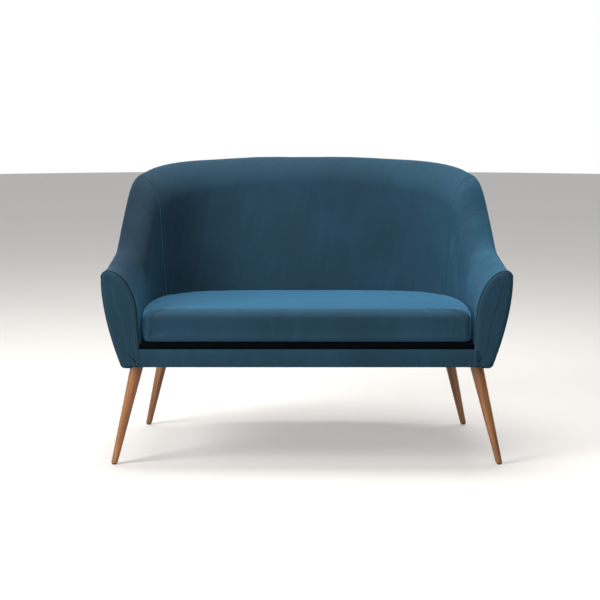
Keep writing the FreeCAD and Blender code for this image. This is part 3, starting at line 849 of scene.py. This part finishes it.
# %% [markdown]
# ## Seat cushion
#
# The cushion is one loose foam slab in a boxed cover: a top, a bottom and a border, sewn together
# without piping. It is made the way it behaves. A slightly smaller closed slab is remeshed into
# even quads, its lower seam is pinned, and it is inflated as cloth, so the top crowns and the
# border bulges above the seam. Movement is capped, because foam holds its shape. Afterwards the
# seam is pressed in, the rear sinks a little, and the cloth is kept clear of the arms, the back
# and the deck.

# %% Outline of the cushion
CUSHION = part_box("seat_cushion_cover")
CUSHION_LOW = CUSHION[0].z
CUSHION_HIGH = CUSHION[1].z
CUSHION_FRONT = CUSHION[0].y - FACE_Y
CUSHION_CORNER = 0.024
CUSHION_MIDDLE = 0.24
BACK_FROM = math.radians(9)
START_INSET = 0.004
FRONT_ZONE = 0.10
FRONT_ROUND = 0.022
FRONT_FOOT_ROUND = 0.010
BACK_ROUND = 0.008
SIDE_GAP = 0.010
REAR_SINK = 0.005


def cushion_plan(z, inset, front_inset):
    """Plan points at each height: the inside wall round the back, then a rounded front."""
    z = np.atleast_1d(z)[:, None]
    angle = np.linspace(BACK_FROM, math.pi - BACK_FROM, 150)[None, :]
    radius = inner_radius(angle, z) - 0.001 - inset
    back_x, back_y = radius * np.cos(angle), radius * np.sin(angle)
    side = inner_radius(0.0, z) - 0.5 * SIDE_GAP - front_inset
    front = CUSHION_FRONT + front_inset
    bend = np.linspace(0, math.pi / 2, 14)[None, :]
    corner_x = side - CUSHION_CORNER * (1 - np.cos(bend))
    corner_y = front + CUSHION_CORNER * (1 - np.sin(bend)) + 0 * z
    width = np.linspace(1, -1, 120)[None, 1:-1]
    edge_x, edge_y = (side - CUSHION_CORNER) * width, front + 0 * width + 0 * z
    x = np.concatenate([back_x, -corner_x, edge_x * -1, corner_x[:, ::-1]], axis=1)
    y = np.concatenate([back_y, corner_y, edge_y, corner_y[:, ::-1]], axis=1)
    return x, y


def cushion_rings(edge, foot):
    """Height and inset of each ring of the slab: quarter circles of radius `edge` and `foot`."""
    low, high = CUSHION_LOW + START_INSET, CUSHION_HIGH - START_INSET
    turn = np.linspace(0, math.pi / 2, 7)
    shrink = np.concatenate([np.full(25, foot), foot * (1 - np.sin(turn)), np.zeros(6),
                             edge * (1 - np.cos(turn)), np.full(25, edge)])
    z = np.concatenate([np.full(25, low), low + foot * (1 - np.cos(turn)),
                        np.linspace(low + foot, high - edge, 8)[1:-1],
                        high - edge * (1 - np.sin(turn)), np.full(25, high)])
    return z, START_INSET + shrink


def cushion_start():
    """Closed slab: rings from the bottom's middle out, up the border, and in over the top.

    Its edge is tight against the wall and rounder at the free front.
    """
    inward = np.linspace(0, 1, 26)[1:]
    scale = np.concatenate([inward, np.ones(20), inward[::-1]])[:, None]
    back_z, back_inset = cushion_rings(BACK_ROUND, BACK_ROUND)
    front_z, front_inset = cushion_rings(FRONT_ROUND, FRONT_FOOT_ROUND)
    x, y = cushion_plan(back_z, back_inset[:, None], front_inset[:, None])
    front = 1 - smooth((y - CUSHION_FRONT) / FRONT_ZONE)
    z = back_z[:, None] * (1 - front) + front_z[:, None] * front
    y = CUSHION_MIDDLE + (y - CUSHION_MIDDLE) * scale
    return np.stack([x * scale, FACE_Y + y, z], axis=-1)


def capped_slab(name, rings):
    """Joins rings into a tube and closes both ends with a fan."""
    count, around = rings.shape[:2]
    ring = np.concatenate([rings, rings[:, :1]], axis=1)
    faces = grid_faces(count, around + 1)
    points = ring.reshape(-1, 3)
    ends = np.stack([rings[0].mean(axis=0), rings[-1].mean(axis=0)])
    index = np.arange(around)
    first = np.stack([index, index + 1, np.full(around, len(points))], axis=-1)
    base = (count - 1) * (around + 1)
    last = np.stack([base + index + 1, base + index, np.full(around, len(points) + 1)], axis=-1)
    faces = faces.tolist() + first.tolist() + last.tolist()
    slab = new_object(name, np.concatenate([points, ends]), faces, flat=True)
    weld(slab)
    return slab


def points_of(mesh):
    flat = np.zeros(len(mesh.vertices) * 3)
    mesh.vertices.foreach_get("co", flat)
    return flat.reshape(-1, 3)


def set_points(mesh, points):
    mesh.vertices.foreach_set("co", points.ravel())
    mesh.update()


def finish_modifiers(piece):
    """Applies what is on the piece, so that a plain mesh is left."""
    bpy.context.view_layer.update()
    graph = bpy.context.evaluated_depsgraph_get()
    result = bpy.data.meshes.new_from_object(piece.evaluated_get(graph))
    piece.modifiers.clear()
    piece.data = result


cushion = capped_slab("seat_cushion", cushion_start())
remesh = cushion.modifiers.new("even", "REMESH")
remesh.mode = "VOXEL"
remesh.voxel_size = 0.006
finish_modifiers(cushion)
print("cushion remeshed to", len(cushion.data.vertices), "points")

# %% Inflate the cushion as cloth
SEAM_LEVEL = CUSHION_LOW + 0.010
BORDER_WIDTH = 0.03
PIN_HEIGHT = 0.006


def edge_distance(points):
    """Signed distance from each point, in plan, to the cushion's full outline (inside positive)."""
    behind = points[:, 1] - FACE_Y
    angle = np.arctan2(np.clip(behind, 1e-4, None), points[:, 0])
    wall = inner_radius(angle, points[:, 2]) - np.hypot(points[:, 0], np.clip(behind, 0, None))
    return np.minimum(wall, behind - CUSHION_FRONT)


def inflate(piece, cap, pressure=4.0, frames=20):
    """Runs the cloth with its seam pinned, then limits how far each point has moved."""
    start = points_of(piece.data)
    held = np.exp(-(((start[:, 2] - SEAM_LEVEL) / PIN_HEIGHT) ** 2)) * (edge_distance(start) < BORDER_WIDTH)
    group = piece.vertex_groups.new(name="seam")
    steps = np.round(held * 10).astype(int)
    for step in range(1, 11):
        group.add(np.nonzero(steps == step)[0].tolist(), step / 10, "REPLACE")
    cloth = piece.modifiers.new("cloth", "CLOTH")
    settings = {"use_pressure": True, "uniform_pressure_force": pressure, "quality": 5, "mass": 0.3,
                "tension_stiffness": 15, "compression_stiffness": 15, "bending_stiffness": 0.5,
                "vertex_group_mass": "seam"}
    for key, value in settings.items():
        setattr(cloth.settings, key, value)
    cloth.settings.effector_weights.gravity = 0
    cloth.collision_settings.use_collision = False
    cloth.point_cache.frame_start = 1
    cloth.point_cache.frame_end = frames
    for number in range(1, frames + 1):
        bpy.context.scene.frame_set(number)
    finish_modifiers(piece)
    bpy.context.scene.frame_set(1)
    moved = points_of(piece.data) - start
    length = np.linalg.norm(moved, axis=1, keepdims=True)
    print("cloth moved up to %.1f mm" % (length.max() * 1000))
    set_points(piece.data, start + moved * np.minimum(1, cap / np.maximum(length, 1e-9)))


inflate(cushion, cap=0.006)
subdivide = cushion.modifiers.new("smooth", "SUBSURF")
subdivide.levels = 1
subdivide.render_levels = 1
finish_modifiers(cushion)

# %% Press in the seam, sink the rear and the zip, and keep the cushion clear
ZIP_LOW, ZIP_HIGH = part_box("zip_tapes")
SEAM_DEPTH = 0.0012
SEAM_WIDTH = 0.0022
SINK_FROM = 0.12
SINK_OVER = 0.3
CUSHION_CLEAR = 0.0008
SIDE_GAP_ENDS = 0.13
ZIP_EASE = 0.006

points = points_of(cushion.data)
near = np.exp(-(((points[:, 2] - SEAM_LEVEL) / SEAM_WIDTH) ** 2))
near *= smooth((BORDER_WIDTH - edge_distance(points)) / 0.01)
inward = np.array([0.0, FACE_Y + CUSHION_MIDDLE]) - points[:, :2]
inward /= np.linalg.norm(inward, axis=1, keepdims=True)
points[:, :2] += inward * (near * SEAM_DEPTH)[:, None]
behind = points[:, 1] - FACE_Y
sink = REAR_SINK * smooth((behind - SINK_FROM) / SINK_OVER)
points[:, 2] -= sink * (points[:, 2] - CUSHION_LOW) / (CUSHION_HIGH - CUSHION_LOW)
angle = np.arctan2(np.clip(behind, 1e-4, None), points[:, 0])
radius = np.hypot(points[:, 0], np.clip(behind, 0, None))
limit = inner_radius(angle, points[:, 2]) - CUSHION_CLEAR - SIDE_GAP * (1 - smooth(behind / SIDE_GAP_ENDS))
scale = np.where((behind > 0.004) & (radius > limit), limit / np.maximum(radius, 1e-6), 1.0)
points[:, 0] *= scale
points[:, 1] = np.where(behind > 0, FACE_Y + behind * scale, points[:, 1])
outside = 0
for axis, margin in ((0, ZIP_EASE), (2, 0.001)):
    below, above = ZIP_LOW[axis] - margin - points[:, axis], points[:, axis] - ZIP_HIGH[axis] - margin
    outside = outside + smooth(below / ZIP_EASE) + smooth(above / ZIP_EASE)
open_slot = (1 - np.clip(outside, 0, 1)) * (points[:, 1] > ZIP_LOW.y - 0.03)
sunk = np.minimum(points[:, 1], ZIP_LOW.y - 0.0006)
points[:, 1] = points[:, 1] * (1 - open_slot) + sunk * open_slot
points[:, 2] = np.clip(points[:, 2], DECK_TOP + 0.0006, None)
set_points(cushion.data, points)
cushion.data.polygons.foreach_set("use_smooth", np.ones(len(cushion.data.polygons), bool))
dress(cushion, SEAT_VELVET)
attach(cushion, "seat_cushion")
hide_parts("seat_cushion_cover", "seat_cushion_core")
print("cushion", len(cushion.data.polygons), "faces, from", np.round(points.min(axis=0), 4), "to",
      np.round(points.max(axis=0), 4))

# %% [markdown]
# ## Legs
#
# The legs are turned from solid wood and stained walnut brown. Their shape comes from the
# engineering model, so they only need their finish. Grain runs along a leg, and each leg leans
# its own way, so every leg gets its own mapping that turns the pattern's long axis onto it.

# %% Walnut-stained wood


def wood(name, foot, top, offset):
    """Long fibres, broad growth bands and dark pores, all drawn out along the leg's axis."""
    shader = Shader(name, Coat_Weight=0.25, Coat_Roughness=0.22, Specular_IOR_Level=0.45)
    turn = (Vector(top) - Vector(foot)).to_track_quat("Z", "Y").inverted().to_euler()
    along = shader.coordinates("Object", scale=(1, 1, 1), rotation=tuple(turn), location=(offset, 0, 0))
    stretched = shader.node("ShaderNodeMapping", None, {"Vector": along, "Scale": (1, 1, 0.045)})
    bands = shader.noise(stretched, 95.0, 3.0, 0.55, 0.6)
    fibres = shader.noise(stretched, 620.0, 3.0, 0.65)
    pores = shader.noise(stretched, 1500.0, 1.0, 0.5)
    tone = bands * 0.75 + fibres * 0.32 - 0.04
    colour = shader.ramp(tone, [(0.28, (0.085, 0.028, 0.007, 1)), (0.48, (0.185, 0.068, 0.015, 1)),
                                (0.62, (0.260, 0.106, 0.025, 1)), (0.80, (0.350, 0.158, 0.043, 1))])
    dark = shader.ramp(pores, [(0.60, (1, 1, 1, 1)), (0.70, (0.55, 0.50, 0.46, 1))])
    return shader.feed(Base_Color=shader.multiply(colour, dark), Roughness=0.34 + fibres * 0.16,
                       Normal=shader.bump(fibres * 0.6 + pores * 0.4, 0.0004, 0.25))


LEG_END_RADII = 0.030
LEG_LEAN = {"front": 0.035, "rear": -0.052}
GLIDE_SPOTS = {mount["name"]: mount["pos_m"] for mount in frame["record"]["mounts"]}
for number, place_name in enumerate(("front_right", "front_left", "rear_right", "rear_left")):
    end, side = place_name.split("_")
    leg = NODES["%s_leg_%s" % (end, side)]
    low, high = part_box(leg.name)
    foot = GLIDE_SPOTS[place_name + "_foot"]
    outward = 1 if side == "right" else -1
    top = (foot[0] - outward * (high.x - low.x - LEG_END_RADII), foot[1] + LEG_LEAN[end], high.z)
    dress(leg, wood("walnut_" + place_name, foot, top, 0.37 * number))
print("legs finished")

# %% [markdown]
# ## Everything that the covers hide
#
# The frame, foam and springs only show when a part is lifted or taken away, but each still has a
# real finish: raw pine and plywood, brown fibreboard, yellowish foam, black cloth, zinc-plated
# steel. They are short recipes of one or two noises each. The black cloth is set darker and duller
# than real, as painted shade where the deck shows in the gap under the cushion.

# %% Hidden and small finishes


def cloth_finish(name, dark, light, scale, shine=0.2):
    """Matte fibres: fine noise in the colour and the bump."""
    shader = Shader(name, Roughness=0.9, Specular_IOR_Level=shine)
    fibres = shader.noise(shader.coordinates(), scale, 4.0, 0.7)
    colour = shader.ramp(fibres, [(0.3, dark), (0.7, light)])
    return shader.feed(Base_Color=colour, Normal=shader.bump(fibres, 0.0008, 0.5))


def sawn_finish(name, dark, light, stretch):
    """Sawn timber or board: noise drawn out along one axis."""
    shader = Shader(name, Roughness=0.7)
    grain = shader.noise(shader.coordinates(scale=stretch), 60.0, 4.0, 0.6, 0.8)
    colour = shader.ramp(grain, [(0.3, dark), (0.7, light)])
    return shader.feed(Base_Color=colour, Normal=shader.bump(grain, 0.0005, 0.4))


def hard_finish(name, colour, metallic, roughness):
    """Steel or plastic: a constant colour with a faintly uneven gloss."""
    shader = Shader(name, Base_Color=colour, Metallic=metallic)
    uneven = shader.noise(shader.coordinates(), 180.0, 2.0)
    return shader.feed(Roughness=roughness + uneven * 0.16, Normal=shader.bump(uneven, 0.0002, 0.2))


FINISHES = {
    # Black lining, set darker and duller than real black cloth: painted shade where the deck shows in the
    # gap under the cushion.
    "lining": cloth_finish("black_cloth_gap_shade", (0.003, 0.004, 0.005, 1), (0.009, 0.010, 0.011, 1), 500.0, 0.02),
    "foam": cloth_finish("foam", (0.62, 0.52, 0.30, 1), (0.80, 0.70, 0.46, 1), 350.0),
    "webbing": cloth_finish("webbing", (0.015, 0.015, 0.015, 1), (0.09, 0.085, 0.08, 1), 260.0),
    "timber": sawn_finish("pine", (0.36, 0.22, 0.10, 1), (0.62, 0.44, 0.24, 1), (0.1, 1, 1)),
    "board": sawn_finish("fibreboard", (0.20, 0.13, 0.07, 1), (0.28, 0.19, 0.11, 1), (1, 1, 1)),
    "steel": hard_finish("zinc_plate", (0.60, 0.60, 0.61, 1), 1.0, 0.26),
    "glide": hard_finish("glide_plastic", (0.020, 0.014, 0.010, 1), 0.0, 0.36),
    "zip_tape": cloth_finish("zip_tape", (0.006, 0.022, 0.035, 1), (0.014, 0.050, 0.074, 1), 700.0),
    "zip_metal": hard_finish("zip_coil", (0.012, 0.050, 0.075, 1), 0.0, 0.30),
}
for row in frame["record"]["subparts"]:
    if row["material_slot"] in FINISHES:
        dress(NODES[row["node"]], FINISHES[row["material_slot"]])
# Near-black and without shine: painted shade for the gap under the cushion, not a cloth's own colour.
painted_shade_dark, painted_shade_light = (0.0008, 0.0016, 0.0022, 1), (0.0016, 0.0028, 0.0036, 1)
dress(lip, cloth_finish("painted_shade_cloth", painted_shade_dark, painted_shade_light, 500.0, 0.0))
print("finishes", sorted(FINISHES))

# %% [markdown]
# ## Floor, light and camera
#
# A wide pale floor and four soft lights: two from the left at different heights, a fill from the
# front and one from above. The world is white behind the sofa and nearly dark in front of it, so
# the background is white but the velvet keeps its shading. The plain Standard view keeps dark
# colours as deep as they are set. The camera stands about four metres in front of the arms, a
# little above the back, with a long lens, so the verticals stay calm.

# %% Studio
FLOOR_RADIUS = 14
ring = np.linspace(0, 2 * math.pi, 96, endpoint=False)
disc = np.stack([FLOOR_RADIUS * np.cos(ring), FLOOR_RADIUS * np.sin(ring), 0 * ring], axis=-1)
floor = new_object("floor", disc, [list(range(len(disc)))], flat=True)
floor_paint = Shader("floor_paint", Base_Color=(0.45, 0.43, 0.41, 1), Roughness=0.7,
                     Emission_Color=(1, 0.98, 0.96, 1), Emission_Strength=0.22)
dress(floor, floor_paint.material)


MIDDLE_OF_SOFA = Vector((0, 0, 0.5))
SOFT_LIGHTS = {  # spot, size, power
    "key_low": ((-3.4, -2.0, 1.7), (1.6, 1.6), 89),
    "key_high": ((-2.8, -1.6, 2.9), (1.6, 1.6), 134),
    "fill_front": ((0.6, -4.2, 2.4), (2.2, 1.6), 108),
    "top": ((0, 0.4, 3.4), (2.6, 1.6), 150),
}
for name, (spot, size, power) in SOFT_LIGHTS.items():
    light = bpy.data.lights.new(name, "AREA")
    light.shape = "RECTANGLE"
    light.size, light.size_y = size
    light.energy = power
    lamp = bpy.data.objects.new(name, light)
    lamp.location = spot
    lamp.rotation_euler = (MIDDLE_OF_SOFA - Vector(spot)).to_track_quat("-Z", "Y").to_euler()
    bpy.context.scene.collection.objects.link(lamp)


def studio_world(front, behind):
    """A world whose grey goes by direction; each of front and behind is (position, grey)."""
    world = bpy.data.worlds.new("studio")
    bpy.context.scene.world = world
    world.use_nodes = True
    tree = world.node_tree
    direction = tree.nodes.new("ShaderNodeTexCoord")
    axes = tree.nodes.new("ShaderNodeSeparateXYZ")
    ramp = tree.nodes.new("ShaderNodeValToRGB")
    tree.links.new(direction.outputs["Generated"], axes.inputs[0])
    tree.links.new(axes.outputs[1], ramp.inputs[0])
    tree.links.new(ramp.outputs[0], tree.nodes["Background"].inputs["Color"])
    for element, (position, grey) in zip(ramp.color_ramp.elements, (front, behind)):
        element.position = position
        element.color = (grey, grey, grey, 1)


studio_world((0.10, 0.08), (0.60, 1.0))
bpy.context.scene.view_settings.view_transform = "Standard"

CAMERA_DISTANCE = 4.116
CAMERA_DOWN = 8.718
camera_data = bpy.data.cameras.new("camera")
camera_data.lens = 85
camera_data.sensor_width = 36
camera = bpy.data.objects.new("camera", camera_data)
camera.location = (-0.0203, FACE_Y - CAMERA_DISTANCE, 1.1385)
camera.rotation_euler = (math.radians(90 - CAMERA_DOWN), 0, 0)
bpy.context.scene.collection.objects.link(camera)
bpy.context.scene.camera = camera
